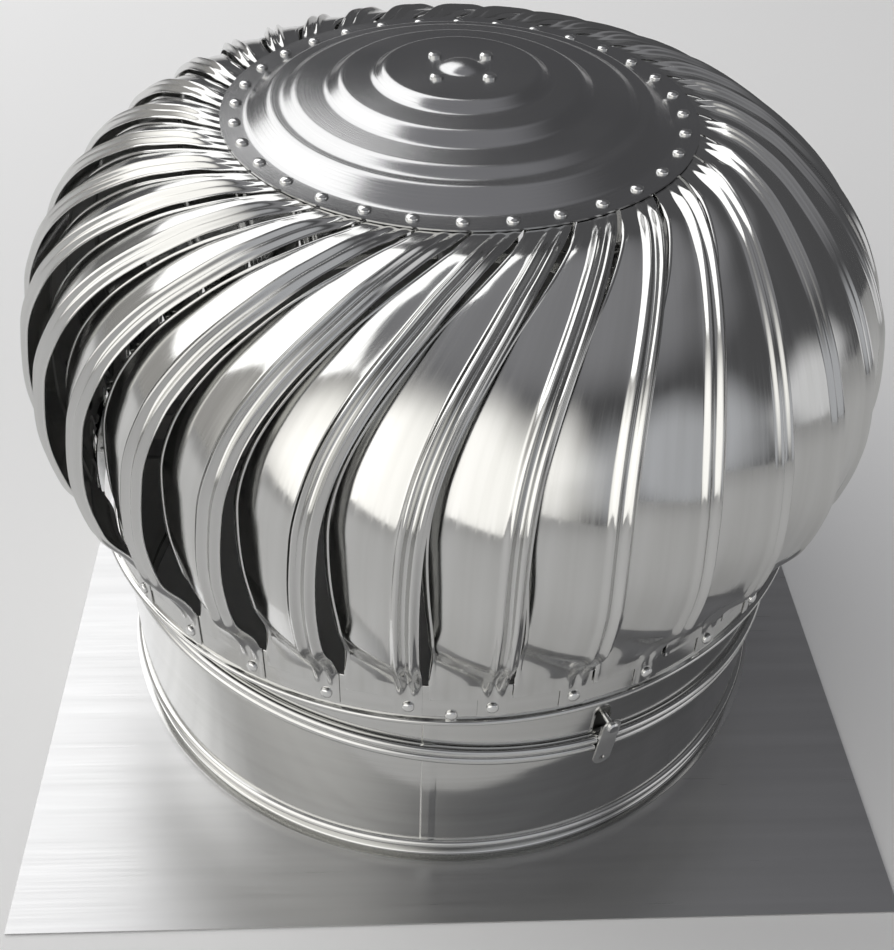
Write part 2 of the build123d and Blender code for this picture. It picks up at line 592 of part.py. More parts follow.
def vane_section(index):
    """The vane's cut at one station: its plane and its outline, the inner edge first."""
    radius, height = crest_line[index]
    before = crest_line[max(index - 1, 0)]
    after = crest_line[min(index + 1, len(crest_line) - 1)]
    on_foot = index <= 2
    on_tongue = index >= len(crest_line) - 2
    along = (after[0] - before[0], after[1] - before[1])
    if on_foot:
        along = (0.0, 1.0)
    if on_tongue:
        along = (-1.0, 0.0)
    length = math.hypot(*along)
    out_r, out_z = along[1] / length, -along[0] / length
    free = (travel[index] - travel[2]) / (travel[-2] - travel[2])
    swing = math.sin(math.pi * free) if 0.0 < free < 1.0 else 0.0
    ridge = RIDGE_END_HEIGHT if on_tongue or index <= 1 else RIDGE_HEIGHT
    depth = ridge - (HEM_CLEARANCE if on_foot else 0.0) + VANE_DEPTH * swing
    span = math.radians(PITCH_DEG - VANE_GAP_DEG)
    edge = (radius - out_r * depth) * math.sin(span) - RIB_CHANNEL
    sag = out_r * edge**2 / (2 * radius)
    azimuth = FOOT_AZIMUTH + vane_lead(radius, height)
    outward = polar(out_r, azimuth, out_z)
    sideways = polar(1.0, azimuth + 90.0, 0.0)
    plane = Plane(polar(radius, azimuth, height), x_dir=sideways, z_dir=sideways.cross(outward))
    step = RIDGE_SPACING
    outer = [
        (-edge, -depth - sag),
        (-2 * step, -ridge),
        (-step, 0.0),
        (0.0, -ridge),
        (step, 0.0),
        (2 * step, -ridge),
    ]
    return plane, outer


with BuildPart() as vane:
    for index in range(len(crest_line)):
        plane, outer = vane_section(index)
        with BuildSketch(plane):
            with BuildLine():
                half = VANE_SHEET / 2
                upper = [(x, y + half) for x, y in outer]
                lower = [(x, y - half) for x, y in reversed(outer)]
                Polyline(*upper, *lower, close=True)
            make_face()
    loft(ruled=True)

    # The panel stops at its hem, and the rib alone goes on as the foot
    hem_plane = Plane(
        polar(FOOT_RADIUS, FOOT_AZIMUTH, FOOT_END_HEIGHT - SHEET),
        x_dir=polar(1, FOOT_AZIMUTH, 0),
        z_dir=(0, 0, 1),
    )
    with BuildSketch(hem_plane):
        with Locations((0, -RIB_CHANNEL)):
            Rectangle(HEAD_RADIUS / 4, HEAD_RADIUS / 4, align=(Align.CENTER, Align.MAX))
    extrude(amount=HEM_HEIGHT - FOOT_END_HEIGHT + SHEET, mode=Mode.SUBTRACT)
    with Locations(foot_planes[0], rim_planes[0]):
        Cylinder(RIVET_RADIUS + HOLE_CLEARANCE, 4 * RIVET_HEAD_RADIUS, mode=Mode.SUBTRACT)

with BuildPart() as rim_rivets:
    rim_rivet = rivet(SHEET + SEAT_GAP + VANE_SHEET)
    with Locations(*rim_planes):
        add(rim_rivet)

with BuildPart() as foot_rivets:
    foot_rivet = rivet(FOOT_FACE - RING_RADIUS + SHEET)
    with Locations(*foot_planes):
        add(foot_rivet)

# Names and files
pieces = {
    "base_plate": base_plate.part,
    "base_drum": base_drum.part,
    "neck_collar": neck_collar.part,
    "tab_screws": tab_screws.part,
    "neck_spider": neck_spider.part,
    "arm_rivets": arm_rivets.part,
    "spindle": spindle.part,
    "spindle_foot_washer": spindle_foot_washer.part,
    "spindle_foot_nut": spindle_foot_nut.part,
    "spindle_tip_washer": spindle_tip_washer.part,
    "spindle_tip_nut": spindle_tip_nut.part,
    "spacer_sleeve": spacer_sleeve.part,
    "lower_bearing_inner": lower_bearing_inner.part,
    "lower_bearing_outer": lower_bearing_outer.part,
    "upper_bearing_inner": upper_bearing_inner.part,
    "upper_bearing_outer": upper_bearing_outer.part,
    "bottom_ring": bottom_ring.part,
    "rotor_spider": rotor_spider.part,
    "spoke_rivets": spoke_rivets.part,
    "bearing_housing": bearing_housing.part,
    "top_cap": top_cap.part,
    "cap_screws": cap_screws.part,
    "cap_nuts": cap_nuts.part,
    "rim_rivets": rim_rivets.part,
    "foot_rivets": foot_rivets.part,
}
for index, azimuth in enumerate(tab_azimuths):
    pieces[f"lock_tab_{index + 1}"] = joint_side(tab_face, azimuth, 0).location * lock_tab.part
for index in range(VANE_COUNT):
    pieces[f"vane_{index + 1:02d}"] = vane.part.rotate(Axis.Z, index * PITCH_DEG)

os.makedirs("parts", exist_ok=True)
for name, piece in pieces.items():
    piece.label = name
    export_step(piece, f"parts/{name}.step")
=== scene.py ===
import math

import bmesh
import bpy
from mathutils import Matrix, Vector


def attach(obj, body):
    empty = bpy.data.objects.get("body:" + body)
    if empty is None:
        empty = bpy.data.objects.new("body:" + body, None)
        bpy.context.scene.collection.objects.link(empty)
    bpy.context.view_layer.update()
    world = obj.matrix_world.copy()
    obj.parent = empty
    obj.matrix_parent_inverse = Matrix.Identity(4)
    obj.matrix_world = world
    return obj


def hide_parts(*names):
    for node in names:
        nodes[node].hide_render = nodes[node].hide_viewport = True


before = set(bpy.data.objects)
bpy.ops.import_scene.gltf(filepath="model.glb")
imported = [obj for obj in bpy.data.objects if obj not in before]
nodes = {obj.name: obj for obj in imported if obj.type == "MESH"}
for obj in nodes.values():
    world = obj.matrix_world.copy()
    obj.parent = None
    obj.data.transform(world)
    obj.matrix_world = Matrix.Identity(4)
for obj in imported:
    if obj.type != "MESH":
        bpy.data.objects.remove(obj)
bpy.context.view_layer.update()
scene = bpy.context.scene
scene.view_settings.view_transform = "Standard"

MM = 0.001

# Sizes shared with the solids, in millimetres and degrees
SHEET = 1.0
VANE_SHEET = 0.6
PLATE_SHEET = 1.2
SEAT_GAP = 0.2

# Throat
THROAT_RADIUS = 248.5
FOOT_FLANGE_WIDTH = 6.5
BEAD_HEIGHT = 15.0
BEAD_RADIUS = 3.5
SEAM_AZIMUTH = -95.0
SEAM_STEP = 0.8
JOINT_HEIGHT = 119.0
JOINT_TILT = math.radians(6.0)
WIRED_EDGE_RADIUS = 3.45
WIRED_EDGE_STANDOUT = 1.65
JOINT_GAP = 0.3
SPIGOT_DEPTH = 8.0
SPIGOT_INSET = 2.8
COLLAR_TOP = 178.0

# Rotor ring and head
RING_RADIUS = 257.0
RING_BOTTOM = 161.5
RING_TOP = 196.0
RING_ROLL_RADIUS = 2.0
HEAD_RADIUS = 288.0
HEAD_MID_HEIGHT = 275.6
CROWN_RISE = 189.8
CROWN_FULLNESS = 2.34
BELLY_DROP = 170.7
CREST_ANGLES = (-22.0, -11.0, 1.0, 12.0, 23.0, 34.0, 44.0, 52.0)

# Cap: each crest and foot is a radius and a rise above the rim
CAP_RADIUS = 146.6
CAP_RIM_HEIGHT = 437.0
CAP_CRESTS = ((47.0, 26.6), (73.5, 20.6), (101.6, 13.2), (117.0, 9.2))
CAP_FEET = ((54.0, 21.6), (82.0, 14.6), (109.0, 9.4), (131.0, 0.0))
RIM_UNDERSIDE = CAP_RIM_HEIGHT - SHEET

# Vanes
VANE_COUNT = 32
VANE_LEAD = 28.1
LEAD_POWER = 1.45
VANE_GAP_DEG = 0.75
HEM_CLEARANCE = 0.7
RIDGE_SPACING = 4.2
RIDGE_HEIGHT = 3.2
RIDGE_END_HEIGHT = 0.3
HEM_HEIGHT = 185.0
FOOT_END_HEIGHT = 169.0
FOOT_FLAT_HEIGHT = 184.0
FOOT_AZIMUTH = -97.81
SHOULDER_RADIUS = 163.0
SHOULDER_RISE = 1.5
TONGUE_LENGTH = 20.0
TONGUE_LAP = 3.0

# Rivets
RIVET_RADIUS = 2.0
RIVET_HEAD_RADIUS = 3.8
RIVET_HEAD_RISE = 2.4
RIM_RIVET_CIRCLE = 138.0
FOOT_RIVET_HEIGHT = 177.0
SPOKE_RIVET_HEIGHT = 170.0
SPOKE_COUNT = 4
SPOKE_AZIMUTH = -92.0

# Form of the scene's own skins, in millimetres, or degrees where the name says so
FOOT_FILLET = 2.0
SEAM_START = -4.5
SEAM_END = 5.5
SEAM_RAMP = 0.8
SEAM_FADE = 5.0
SEAM_END_SHARE = 0.15
SEAM_COLUMN_DEG = 0.08
SEAM_COLUMNS = range(-16, 19)
THROAT_COLUMNS = 420
BEAD_BORE_DEG = 113.6
WIRED_EDGE_ANGLES = range(-120, 121, 15)
DRUM_WALL_SHARES = (0.02, 0.1, 0.25, 0.4, 0.55, 0.7, 0.85, 0.97)
COLLAR_WALL_SHARES = (0.04, 0.2, 0.4, 0.6, 0.8, 0.98)
DRUM_WALL_LAP = 0.4
COLLAR_WALL_LAP = 0.2
DRUM_LIP_ABOVE = 1.6
DRUM_LIP_BELOW = 2.0
COLLAR_LIP = 1.2
RING_EDGE_BREAK = 0.3
RING_ROLL_END = 4.4
RING_WALL_HEIGHTS = (172.0, 184.0)
RING_SEGMENTS = 360
CAP_BOSS = ((0.0, 4.0), (3.0, 3.85), (6.5, 3.2), (10.0, 2.0), (14.0, 0.0))
CAP_ROUNDING = 2.4
CAP_SEGMENTS = 256
ROUNDING_SHARE = 0.45
HEM_WIDTH = 3.6
HEM_RISE = 1.1
HEM_ROUNDNESS = 0.7
HEM_FULL_DEPTH = 8.0
PANEL_CROWN = 1.1
CROWN_FULL_DEPTH = 12.0
RIDGE_ROUNDNESS = 0.85

# Panels sink behind the next rib low down, rise towards the cap and tuck under that rib, where the
# solids' panels sink evenly; the tuck starts and ends at shares of the vane's free length
PANEL_SINK = 18.5
PANEL_RISE = 0.4
PANEL_SKEW = 0.6
PANEL_TUCK = math.radians(1.8)
TUCK_STARTS = (0.05, 0.60)
TUCK_ENDS = (0.80, 0.93)

# Rows and columns of the vane's mesh
RING_STATION = 2
FOOT_ROWS = (0.0, 4.0, 8.0, 12.0)
FOOT_ROW_GAP = 0.3
FOOT_PANEL_SHARE = 0.02
VANE_STEPS = 92
HEM_STEPS = 5
PANEL_STEPS = 9
RIDGE_STEPS = 24

# Domed heads
DOME_ANGLES = (20, 38, 55, 70, 82)
DOME_BASE = 0.25
DOME_RIM = 0.22
DOME_SIDES = 20
RIM_RIVET_DEPTH = 3.3
FOOT_RIVET_DEPTH = 3.6
SPOKE_RIVET_DEPTH = 4.7

# Points this near in metres are joined, and edges sharper than these angles in degrees stay sharp
MERGE_DISTANCE = 1e-6
SHARP_ANGLE = 35.0
THROAT_SHARP = 50.0
VANE_SHARP = 42.0
DOME_SHARP = 40.0

# Finish of the sheet; depths in metres
UV_RADIUS = 0.25
NOISE_ROUGHNESS = 0.6
SLOW_STREAK_SHARE = 0.12
SLOW_STREAK_BASE = 2.0
TINT_STOPS = (0.3, 0.7)
RIPPLE_STRENGTH = 0.25
RIPPLE_DEPTH = 0.002
GRAIN_DEPTH = 0.0002
SPUN_LINE_SCALE = 1400.0
SPUN_LINE_STRENGTH = 0.12
SPUN_CLOUD_SCALE = (9.0, 9.0, 9.0)
SPUN_RANGE = (0.7, 1.3)
SPUN_DARKEST = 0.86


# Node helpers
def new_material(name):
    """A node material with one Principled shader; returns the material, its tree and the shader."""
    material = bpy.data.materials.new(name)
    material.use_nodes = True
    tree = material.node_tree
    return material, tree, tree.nodes["Principled BSDF"]


def add_node(tree, kind, values=(), **settings):
    """Adds a node, sets its properties, and sets or links its inputs."""
    node = tree.nodes.new(kind)
    for key, value in settings.items():
        setattr(node, key, value)
    for key, value in dict(values).items():
        if isinstance(value, bpy.types.NodeSocket):
            tree.links.new(value, node.inputs[key])
        else:
            node.inputs[key].default_value = value
    return node


def stretched_noise(tree, vector, scale, detail):
    """Noise over coordinates that are scaled axis by axis first."""
    mapped = add_node(tree, "ShaderNodeMapping", {"Vector": vector, "Scale": scale})
    place = mapped.outputs["Vector"]
    noise = add_node(
        tree,
        "ShaderNodeTexNoise",
        {"Vector": place, "Scale": 1.0, "Detail": detail, "Roughness": NOISE_ROUGHNESS},
    )
    return noise.outputs["Fac"]


def to_range(tree, value, low, high, start=0.25, stop=0.75):
    """Maps a noise value to a range."""
    node = add_node(
        tree,
        "ShaderNodeMapRange",
        {"Value": value, "From Min": start, "From Max": stop, "To Min": low, "To Max": high},
    )
    return node.outputs["Result"]


def steel(name, colour, tint, roughness, streaks, wave, streak_bump, coords="UV"):
    """Rolled steel sheet: fine streaks in gloss, faint tint, and the slow waviness of thin sheet."""
    material, tree, shader = new_material(name)
    place = add_node(tree, "ShaderNodeTexCoord").outputs[coords]
    fine = stretched_noise(tree, place, streaks, detail=4.0)
    slow_streaks = [s * SLOW_STREAK_SHARE + SLOW_STREAK_BASE for s in streaks]
    slow = stretched_noise(tree, place, slow_streaks, detail=2.0)
    shade = add_node(tree, "ShaderNodeValToRGB", {"Fac": slow})
    ends = shade.color_ramp.elements
    ends[0].position, ends[1].position = TINT_STOPS
    ends[0].color, ends[1].color = (*colour, 1.0), (*tint, 1.0)
    tree.links.new(shade.outputs["Color"], shader.inputs["Base Color"])
    tree.links.new(to_range(tree, fine, *roughness), shader.inputs["Roughness"])
    shader.inputs["Metallic"].default_value = 1.0
    ripple = stretched_noise(tree, place, wave, detail=1.0)
    bump = add_node(
        tree,
        "ShaderNodeBump",
        {"Height": ripple, "Strength": RIPPLE_STRENGTH, "Distance": RIPPLE_DEPTH},
    )
    grain = add_node(
        tree,
        "ShaderNodeBump",
        {
            "Height": fine,
            "Strength": streak_bump,
            "Distance": GRAIN_DEPTH,
            "Normal": bump.outputs["Normal"],
        },
    )
    tree.links.new(grain.outputs["Normal"], shader.inputs["Normal"])
    return material


def rounds(name, colour, roughness):
    """Turned or spun steel with concentric lines about the Z axis."""
    material, tree, shader = new_material(name)
    place = add_node(tree, "ShaderNodeTexCoord").outputs["Object"]
    flat = add_node(tree, "ShaderNodeVectorMath", {0: place, 1: (1, 1, 0)}, operation="MULTIPLY")
    reach = add_node(tree, "ShaderNodeVectorMath", {0: flat.outputs[0]}, operation="LENGTH")
    lines = add_node(
        tree,
        "ShaderNodeTexNoise",
        {"W": reach.outputs["Value"], "Scale": SPUN_LINE_SCALE, "Detail": 3.0},
        noise_dimensions="1D",
    )
    cloud = stretched_noise(tree, place, SPUN_CLOUD_SCALE, detail=2.0)
    mixed = add_node(
        tree, "ShaderNodeMath", {0: lines.outputs["Fac"], 1: cloud}, operation="ADD"
    ).outputs[0]
    start, stop = SPUN_RANGE
    gloss = to_range(tree, mixed, *roughness, start=start, stop=stop)
    tree.links.new(gloss, shader.inputs["Roughness"])
    ramp = add_node(tree, "ShaderNodeValToRGB", {"Fac": cloud})
    ramp.color_ramp.elements[0].color = (*[c * SPUN_DARKEST for c in colour], 1.0)
    ramp.color_ramp.elements[1].color = (*colour, 1.0)
    tree.links.new(ramp.outputs["Color"], shader.inputs["Base Color"])
    shader.inputs["Metallic"].default_value = 1.0
    bump = add_node(
        tree,
        "ShaderNodeBump",
        {"Height": lines.outputs["Fac"], "Strength": SPUN_LINE_STRENGTH, "Distance": GRAIN_DEPTH},
    )
    tree.links.new(bump.outputs["Normal"], shader.inputs["Normal"])
    return material


polished = steel(
    "polished_steel",
    colour=(0.66, 0.66, 0.65),
    tint=(0.58, 0.58, 0.565),
    roughness=(0.06, 0.19),
    streaks=(700.0, 9.0, 1.0),
    wave=(10.0, 5.0, 1.0),
    streak_bump=0.02,
)
throat_steel = steel(
    "throat_steel",
    colour=(0.65, 0.65, 0.64),
    tint=(0.59, 0.59, 0.575),
    roughness=(0.07, 0.17),
    streaks=(6.0, 700.0, 1.0),
    wave=(5.0, 7.0, 1.0),
    streak_bump=0.06,
)
plate_steel = steel(
    "plate_steel",
    colour=(0.62, 0.62, 0.62),
    tint=(0.56, 0.56, 0.56),
    roughness=(0.27, 0.38),
    streaks=(8.0, 620.0, 620.0),
    wave=(6.0, 6.0, 6.0),
    streak_bump=0.05,
    coords="Object",
)
bracket = steel(
    "bracket_steel",
    colour=(0.46, 0.46, 0.47),
    tint=(0.38, 0.38, 0.39),
    roughness=(0.32, 0.5),
    streaks=(90.0, 90.0, 90.0),
    wave=(20.0, 20.0, 20.0),
    streak_bump=0.1,
    coords="Object",
)
cap_steel = rounds("cap_steel", colour=(0.58, 0.58, 0.58), roughness=(0.15, 0.27))
fastener = rounds("fastener_steel", colour=(0.78, 0.78, 0.77), roughness=(0.10, 0.22))
strap = rounds("strap_steel", colour=(0.72, 0.72, 0.71), roughness=(0.24, 0.36))
bearing = rounds("bearing_steel", colour=(0.66, 0.66, 0.66), roughness=(0.10, 0.2))


# Mesh helpers
def make_piece(name, points, faces, material, uvs=None, sharp=SHARP_ANGLE):
    """A smooth mesh piece; points in millimetres, uvs one pair per point in metres."""
    mesh = bpy.data.meshes.new(name)
    mesh.from_pydata([Vector(p) * MM for p in points], [], faces)
    mesh.update()
    for polygon in mesh.polygons:
        polygon.use_smooth = True
    if uvs:
        layer = mesh.uv_layers.new(name="sheet")
        for loop in mesh.loops:
            layer.data[loop.index].uv = uvs[loop.vertex_index]
    shell = bmesh.new()
    shell.from_mesh(mesh)
    bmesh.ops.remove_doubles(shell, verts=shell.verts, dist=MERGE_DISTANCE)
    bmesh.ops.recalc_face_normals(shell, faces=shell.faces)
    shell.to_mesh(mesh)
    shell.free()
    mesh.set_sharp_from_angle(angle=math.radians(sharp))
    mesh.materials.append(material)
    piece = bpy.data.objects.new(name, mesh)
    scene.collection.objects.link(piece)
    return piece


def grid_faces(rows, columns, wrap_rows=False, wrap_columns=False, start=0):
    """Quads over a grid of points stored row by row."""
    faces = []
    for i in range(rows if wrap_rows else rows - 1):
        for j in range(columns if wrap_columns else columns - 1):
            a = start + i * columns + j
            b = start + i * columns + (j + 1) % columns
            c = start + ((i + 1) % rows) * columns + (j + 1) % columns
            d = start + ((i + 1) % rows) * columns + j
            faces.append((a, b, c, d))
    return faces


def arc(centre, radius, first, last, count):
    """Points of an arc in a profile, angles in degrees."""
    angles = [math.radians(first + (last - first) * i / count) for i in range(count + 1)]
    return [(centre[0] + radius * math.cos(t), centre[1] + radius * math.sin(t)) for t in angles]


def lathe(name, profile, material, segments):
    """Turns a closed profile of (radius, height) points about the axis."""
    points, uvs = [], []
    run = [0.0]
    for (r0, z0), (r1, z1) in zip(profile, profile[1:]):
        run.append(run[-1] + math.hypot(r1 - r0, z1 - z0))
    for i in range(segments):
        turn = 2 * math.pi * i / segments
        for (radius, height), along in zip(profile, run):
            points.append(Vector((radius * math.cos(turn), radius * math.sin(turn), height)))
            uvs.append((abs(turn - math.pi) * UV_RADIUS, along * MM))
    faces = grid_faces(segments, len(profile), wrap_rows=True, wrap_columns=True)
    return make_piece(name, points, faces, material, uvs)


# Throat: the two halves meet on a slanted plane
joint_normal = Vector((math.sin(JOINT_TILT), 0, math.cos(JOINT_TILT)))
joint_low = Vector((math.cos(JOINT_TILT), 0, -math.sin(JOINT_TILT)))
joint_centre = Vector((0, 0, JOINT_HEIGHT))


def joint_point(radius, turn, height):
    """A point given in the slanted joint's own round coordinates."""
    side = joint_low * math.cos(turn) + Vector((0, 1, 0)) * math.sin(turn)
    return joint_centre + side * radius + joint_normal * height


def seam_lift(turn):
    """The small step of the lap seam, in millimetres."""
    degrees = math.remainder(math.degrees(turn) - SEAM_AZIMUTH, 360.0)
    offset = degrees * math.radians(1) * THROAT_RADIUS
    if offset < SEAM_START or offset > SEAM_END:
        return 0.0
    rise = (offset - SEAM_START) / SEAM_RAMP
    fall = (SEAM_END - offset) / SEAM_FADE + SEAM_END_SHARE
    return SEAM_STEP * min(1.0, rise, fall)


def cut_height(turn, radius, offset):
    """Height at which a vertical wall meets a plane parallel to the joint."""
    x = radius * math.cos(turn)
    return JOINT_HEIGHT + (offset - x * math.sin(JOINT_TILT)) / math.cos(JOINT_TILT)


def throat_columns():
    """Azimuths round the throat, closer together at the seam."""
    plain = [2 * math.pi * i / THROAT_COLUMNS for i in range(THROAT_COLUMNS)]
    seam = math.radians(SEAM_AZIMUTH) % (2 * math.pi)
    extra = [seam + math.radians(SEAM_COLUMN_DEG * i) for i in SEAM_COLUMNS]
    return sorted(set(plain + extra))


def ring_of(profile_at, name, material):
    """A closed skin whose profile is worked out at each azimuth."""
    columns = throat_columns()
    points, uvs = [], []
    for turn in columns:
        profile = profile_at(turn)
        along = 0.0
        before = profile[0]
        for point in profile:
            along += (point - before).length
            before = point
            points.append(point)
            uvs.append((abs(turn - math.pi) * UV_RADIUS, along * MM))
    size = len(profile)
    faces = grid_faces(len(columns), size, wrap_rows=True, wrap_columns=True)
    return make_piece(name, points, faces, material, uvs, THROAT_SHARP)


edge_offset = WIRED_EDGE_RADIUS + JOINT_GAP / 2
edge_circle = THROAT_RADIUS + WIRED_EDGE_STANDOUT
bore_radius = THROAT_RADIUS - SHEET


def on_wall(turn, radius, height):
    """A point at an azimuth of the throat."""
    return Vector((radius * math.cos(turn), radius * math.sin(turn), height))


def wired_edge(turn, offset):
    """The outside of a wired edge, its middle at a height above the joint."""
    points = []
    for angle in WIRED_EDGE_ANGLES:
        t = math.radians(angle)
        out = edge_circle + WIRED_EDGE_RADIUS * math.cos(t)
        points.append(joint_point(out, turn, offset + WIRED_EDGE_RADIUS * math.sin(t)))
    return points


def drum_profile(turn):
    """The lower throat from its foot flange up to the wired edge, outside then inside."""
    wall = THROAT_RADIUS
    outer = wall + seam_lift(turn)
    rim = wall + FOOT_FLANGE_WIDTH
    flange_top = PLATE_SHEET + SHEET
    fillet = (wall + FOOT_FILLET, flange_top + FOOT_FILLET)
    bead = (wall, BEAD_HEIGHT)
    low = BEAD_HEIGHT + BEAD_RADIUS
    top = cut_height(turn, wall, -2 * edge_offset + DRUM_WALL_LAP)
    flat = [(bore_radius, PLATE_SHEET), (rim, PLATE_SHEET), (rim, flange_top)]
    flat += arc(fillet, FOOT_FILLET, 270, 180, 5)
    flat += arc(bead, BEAD_RADIUS, -90, 90, 12)
    for share in DRUM_WALL_SHARES:
        flat.append((outer, low + (top - low) * share))
    points = [on_wall(turn, r, z) for r, z in flat]
    points += wired_edge(turn, -edge_offset)
    inside = [(bore_radius, cut_height(turn, bore_radius, -edge_offset + DRUM_LIP_ABOVE))]
    inside += [(bore_radius, cut_height(turn, bore_radius, -edge_offset - DRUM_LIP_BELOW))]
    inside += arc(bead, BEAD_RADIUS - SHEET, BEAD_BORE_DEG, -BEAD_BORE_DEG, 10)
    return points + [on_wall(turn, r, z) for r, z in inside]


def collar_profile(turn):
    """The upper throat from its wired edge to its top, outside then inside down to the spigot."""
    wall = THROAT_RADIUS
    outer = wall + seam_lift(turn)
    spigot = wall - SPIGOT_INSET
    low = cut_height(turn, wall, 2 * edge_offset - COLLAR_WALL_LAP)
    points = wired_edge(turn, edge_offset)
    for share in COLLAR_WALL_SHARES:
        points.append(on_wall(turn, outer, low + (COLLAR_TOP - low) * share))
    points.append(on_wall(turn, wall, COLLAR_TOP))
    points.append(on_wall(turn, bore_radius, COLLAR_TOP))
    points.append(on_wall(turn, bore_radius, cut_height(turn, bore_radius, edge_offset + COLLAR_LIP)))
    points.append(joint_point(spigot - SHEET, turn, edge_offset + SHEET))
    points.append(joint_point(spigot - SHEET, turn, -SPIGOT_DEPTH))
    points.append(joint_point(spigot, turn, -SPIGOT_DEPTH))
    points.append(joint_point(spigot, turn, edge_offset - SHEET))
    return points


drum = ring_of(drum_profile, "throat_lower", throat_steel)
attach(drum, "base")
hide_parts("base_drum")
collar = ring_of(collar_profile, "throat_upper", throat_steel)
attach(collar, "neck")
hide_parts("neck_collar")

# Rotor ring with its rolled lower edge
ring_bore = RING_RADIUS - SHEET
roll_height = RING_BOTTOM + RING_ROLL_RADIUS
break_height = RING_TOP - RING_EDGE_BREAK
ring_profile = [(ring_bore, break_height), (ring_bore, roll_height)]
ring_profile += arc((ring_bore + RING_ROLL_RADIUS, roll_height), RING_ROLL_RADIUS, 190, 450, 16)
ring_profile += [(RING_RADIUS, RING_BOTTOM + RING_ROLL_END)]
ring_profile += [(RING_RADIUS, height) for height in (*RING_WALL_HEIGHTS, break_height)]
ring_profile += [(RING_RADIUS - RING_EDGE_BREAK, RING_TOP), (ring_bore + RING_EDGE_BREAK, RING_TOP)]
rotor_ring = lathe("rotor_ring", ring_profile, throat_steel, RING_SEGMENTS)
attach(rotor_ring, "turbine")
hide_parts("bottom_ring")


# Stepped cap: each step is a rounded crest, a slope and a hollow foot
def rounded(corners, radius, count=5):
    """Rounds the inner corners of an open polyline with short quadratic curves."""
    out = [corners[0]]
    for before, corner, after in zip(corners, corners[1:], corners[2:]):
        b, c, a = Vector(before), Vector(corner), Vector(after)
        cut_b = min(radius, (c - b).length * ROUNDING_SHARE)
        cut_a = min(radius, (a - c).length * ROUNDING_SHARE)
        p0 = c + (b - c).normalized() * cut_b
        p1 = c + (a - c).normalized() * cut_a
        for i in range(count + 1):
            t = i / count
            p = p0 * (1 - t) ** 2 + c * 2 * t * (1 - t) + p1 * t**2
            out.append((p.x, p.y))
    out.append(corners[-1])
    return out


cap_top_height = CAP_RIM_HEIGHT + CAP_CRESTS[0][1]
cap_line = [(radius, cap_top_height + rise) for radius, rise in CAP_BOSS]
for crest, foot in zip(CAP_CRESTS, CAP_FEET):
    cap_line.append((crest[0], CAP_RIM_HEIGHT + crest[1]))
    cap_line.append((foot[0], CAP_RIM_HEIGHT + foot[1]))
cap_line.append((CAP_RADIUS, CAP_RIM_HEIGHT))
cap_top = rounded(cap_line, CAP_ROUNDING)
cap_profile = cap_top + [(r, z - SHEET) for r, z in reversed(cap_top)]
cap = lathe("cap_sheet", cap_profile, cap_steel, CAP_SEGMENTS)
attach(cap, "turbine")
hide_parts("top_cap")


# Vanes: smooth curves along the solids' crest line, with rounded beads along the rib
def crest_point(angle):
    """A point of the envelope at a latitude in degrees."""
    turn = math.radians(abs(angle))
    if angle < 0:
        return (HEAD_RADIUS * math.cos(turn), HEAD_MID_HEIGHT - BELLY_DROP * math.sin(turn))
    power = 2 / CROWN_FULLNESS
    return (
        HEAD_RADIUS * math.cos(turn) ** power,
        HEAD_MID_HEIGHT + CROWN_RISE * math.sin(turn) ** power,
    )


def vane_lead(radius, height):
    """How far the rib has swept round at this radius, in degrees."""
    if height < HEAD_MID_HEIGHT:
        return 0.0
    share = (HEAD_RADIUS - max(radius, RIM_RIVET_CIRCLE)) / (HEAD_RADIUS - RIM_RIVET_CIRCLE)
    return VANE_LEAD * share**LEAD_POWER


foot_radius = RING_RADIUS + SEAT_GAP + VANE_SHEET / 2
tongue_height = RIM_UNDERSIDE - SEAT_GAP - VANE_SHEET / 2
crest_line = [
    (foot_radius + RIDGE_END_HEIGHT, FOOT_END_HEIGHT),
    (foot_radius + RIDGE_END_HEIGHT, FOOT_FLAT_HEIGHT),
    (foot_radius + RIDGE_HEIGHT, RING_TOP),
    *[crest_point(angle) for angle in CREST_ANGLES],
    (SHOULDER_RADIUS, RIM_UNDERSIDE + SHOULDER_RISE),
    (CAP_RADIUS + TONGUE_LAP, tongue_height),
    (CAP_RADIUS - TONGUE_LENGTH, tongue_height),
]
travel = [0.0]
for (r0, z0), (r1, z1) in zip(crest_line, crest_line[1:]):
    travel.append(travel[-1] + math.hypot(r1 - r0, z1 - z0))
last = len(crest_line) - 1


def ease(value, start, stop):
    """0 before start, 1 after stop, smooth between them."""
    t = min(1.0, max(0.0, (value - start) / (stop - start)))
    return t * t * (3 - 2 * t)


def station(index):
    """Radius, height, outward tilt, depth, ridge height and tuck at one point of the crest line."""
    radius, height = crest_line[index]
    before = crest_line[max(index - 1, 0)]
    after = crest_line[min(index + 1, last)]
    along = (after[0] - before[0], after[1] - before[1])
    if index <= RING_STATION:
        along = (0.0, 1.0)
    if index >= last - 1:
        along = (-1.0, 0.0)
    tilt = math.atan2(-along[0], along[1])
    free = (travel[index] - travel[RING_STATION]) / (travel[-2] - travel[RING_STATION])
    free = min(1.0, max(0.0, free))
    sink = PANEL_SINK * math.sin(math.pi * free**PANEL_SKEW) * (1 - PANEL_RISE * free)
    tuck = PANEL_TUCK * ease(free, *TUCK_STARTS) * (1 - ease(free, *TUCK_ENDS))
    at_end = index < RING_STATION or index >= last - 1
    ridge = RIDGE_END_HEIGHT if at_end else RIDGE_HEIGHT
    depth = ridge - (HEM_CLEARANCE if index <= RING_STATION else 0.0) + sink
    return radius, height, tilt, depth, ridge, tuck


stations = [station(i) for i in range(last + 1)]


